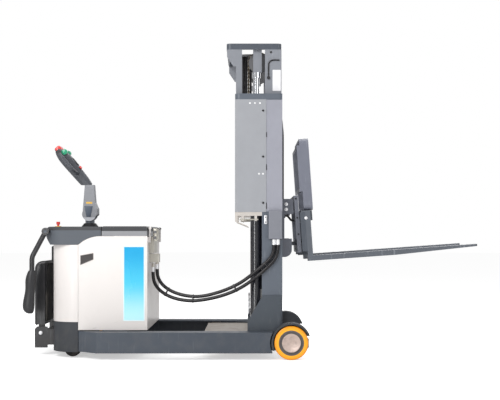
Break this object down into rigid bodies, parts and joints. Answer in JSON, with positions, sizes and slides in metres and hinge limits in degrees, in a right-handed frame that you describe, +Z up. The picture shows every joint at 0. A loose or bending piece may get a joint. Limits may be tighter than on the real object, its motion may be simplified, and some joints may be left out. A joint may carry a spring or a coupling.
{
  "type": "electric reach stacker",
  "caption": "Stand-on electric reach stacker: straddle legs with load wheels, battery tractor with tiller and folding platform, telescopic mast, tilting forks with backrest",
  "frame": {"origin": "on the floor, at the middle of the length and of the width", "axes": "+X points from the operator's end to the fork tips, +Y to the left, +Z up"},
  "size_m": [3.1369, 1.1, 2.165],
  "materials": {
    "leg_paint": "satin blue-grey paint",
    "mast_paint": "satin lighter blue-grey paint",
    "light_paint": "gloss off-white paint",
    "grey_paint": "satin grey paint",
    "black_paint": "satin black paint",
    "gloss_black": "gloss black paint",
    "dark_cover": "moulded dark grey plastic",
    "black_rubber": "matte black rubber",
    "load_tyre": "cast polyurethane",
    "drive_tyre": "cast polyurethane",
    "cast_hub": "machined casting",
    "zinc": "zinc plate",
    "steel": "oiled steel",
    "chrome_rod": "hard chrome",
    "red_button": "gloss red plastic",
    "battery": "plain block",
    "hose": "smooth rubber"
  },
  "bodies": {
    "chassis": {"legs": "leg_paint", "fenders": "dark_cover", "rear_frame": "leg_paint", "side_panels": "light_paint", "skirt": "dark_cover", "rear_cover": "light_paint", "cowl": "dark_cover", "tiller_boot": "black_rubber", "front_panel": "light_paint", "battery_block": "battery", "emergency_stop": "red_button", "knee_pad": "black_rubber", "platform_bracket": "black_paint", "hose_fittings": "zinc", "reach_cylinder": "black_paint", "hose_upper": "hose", "hose_lower": "hose"},
    "reach": {"reach_carriage": "leg_paint", "reach_rod": "chrome_rod", "outer_mast": "mast_paint", "mast_guards": "mast_paint", "mast_bracket": "light_paint", "hose_box": "dark_cover", "lift_cylinders": "gloss_black"},
    "mast": {"inner_mast": "mast_paint", "lift_rods": "chrome_rod", "chain_sheaves": "steel", "chain_wraps": "steel", "lift_chains_rear": "steel", "mast_hoses": "hose"},
    "carriage": {"lift_carriage": "leg_paint", "lift_chains_front": "steel", "carriage_hoses": "hose"},
    "tilt": {"tilt_frame": "black_paint"},
    "tilt_ram": {"tilt_rod": "chrome_rod"},
    "shift": {"fork_carriage": "black_paint", "backrest": "black_paint", "forks": "black_paint"},
    "drive": {"drive_unit": "black_paint"},
    "drive_wheel": {"drive_tyre": "drive_tyre", "drive_hub": "cast_hub"},
    "tiller": {"tiller_arm": "grey_paint", "tiller_head": "dark_cover", "tiller_controls": "red_button"},
    "lid": {"battery_lid": "dark_cover"},
    "platform": {"platform": "dark_cover", "platform_mat": "black_rubber"},
    "load_wheel_right": {"load_tyre_right": "load_tyre", "load_hub_right": "cast_hub"},
    "load_wheel_left": {"load_tyre_left": "load_tyre", "load_hub_left": "cast_hub"},
    "caster_right": {"caster_fork_right": "zinc"},
    "caster_left": {"caster_fork_left": "zinc"},
    "caster_wheel_right": {"caster_wheel_right": "drive_tyre"},
    "caster_wheel_left": {"caster_wheel_left": "drive_tyre"},
    "guard_right": {"guard_arm_right": "black_paint", "guard_grip_right": "black_rubber"},
    "guard_left": {"guard_arm_left": "black_paint", "guard_grip_left": "black_rubber"}
  },
  "joints": [
    {"name": "reach_slide", "type": "slide", "parent": "chassis", "child": "reach", "axis": [1, 0, 0], "range_m": [-0.48, 0], "deforming": ["hose_upper", "hose_lower"]},
    {"name": "mast_lift", "type": "slide", "parent": "reach", "child": "mast", "axis": [0, 0, 1], "range_m": [-0.29, 0.96], "deforming": ["lift_chains_rear"]},
    {"name": "carriage_lift", "type": "slide", "parent": "mast", "child": "carriage", "axis": [0, 0, 1], "range_m": [-0.29, 0.96], "deforming": ["lift_chains_front", "mast_hoses"]},
    {"name": "fork_tilt", "type": "hinge", "parent": "carriage", "child": "tilt", "pos_m": [0.28, 0, 1.04], "axis": [0, 1, 0], "range_deg": [0, 5], "deforming": ["carriage_hoses"]},
    {"name": "tilt_ram_slide", "type": "slide", "parent": "carriage", "child": "tilt_ram", "axis": [1, 0, 0], "range_m": [-0.024, 0]},
    {"name": "side_shift", "type": "slide", "parent": "tilt", "child": "shift", "axis": [0, 1, 0], "range_m": [-0.05, 0.05]},
    {"name": "steer", "type": "hinge", "parent": "chassis", "child": "drive", "pos_m": [-1.173, 0, 0.241], "axis": [0, 0, 1], "range_deg": [-90, 90]},
    {"name": "drive_roll", "type": "hinge", "parent": "drive", "child": "drive_wheel", "pos_m": [-1.173, 0, 0.115], "axis": [0, 1, 0], "continuous": true},
    {"name": "tiller_tilt", "type": "hinge", "parent": "drive", "child": "tiller", "pos_m": [-1.173, 0, 0.992], "axis": [0, -1, 0], "range_deg": [0, 70]},
    {"name": "lid_hinge", "type": "hinge", "parent": "chassis", "child": "lid", "pos_m": [-0.698, 0, 0.889], "axis": [0, 1, 0], "range_deg": [0, 80]},
    {"name": "platform_fold", "type": "hinge", "parent": "chassis", "child": "platform", "pos_m": [-1.473, 0, 0.156], "axis": [0, -1, 0], "range_deg": [0, 90]},
    {"name": "guard_fold_right", "type": "hinge", "parent": "chassis", "child": "guard_right", "pos_m": [-1.409, -0.412, 0.866], "axis": [0, 1, 0], "range_deg": [0, 95]},
    {"name": "guard_fold_left", "type": "hinge", "parent": "chassis", "child": "guard_left", "pos_m": [-1.409, 0.412, 0.866], "axis": [0, 1, 0], "range_deg": [0, 95]},
    {"name": "load_roll_right", "type": "hinge", "parent": "chassis", "child": "load_wheel_right", "pos_m": [0.268, -0.5025, 0.115], "axis": [0, 1, 0], "continuous": true},
    {"name": "load_roll_left", "type": "hinge", "parent": "chassis", "child": "load_wheel_left", "pos_m": [0.268, 0.5025, 0.115], "axis": [0, 1, 0], "continuous": true},
    {"name": "caster_swivel_right", "type": "hinge", "parent": "chassis", "child": "caster_right", "pos_m": [-1.208, -0.322, 0.156], "axis": [0, 0, 1], "continuous": true},
    {"name": "caster_swivel_left", "type": "hinge", "parent": "chassis", "child": "caster_left", "pos_m": [-1.208, 0.322, 0.156], "axis": [0, 0, 1], "continuous": true},
    {"name": "caster_roll_right", "type": "hinge", "parent": "caster_right", "child": "caster_wheel_right", "pos_m": [-1.238, -0.322, 0.0575], "axis": [0, 1, 0], "continuous": true},
    {"name": "caster_roll_left", "type": "hinge", "parent": "caster_left", "child": "caster_wheel_left", "pos_m": [-1.238, 0.322, 0.0575], "axis": [0, 1, 0], "continuous": true}
  ],
  "couplings": [
    {"joint": "carriage_lift", "follows": "mast_lift", "ratio": 1},
    {"joint": "tilt_ram_slide", "follows": "fork_tilt", "m_per_rad": -0.26}
  ]
}
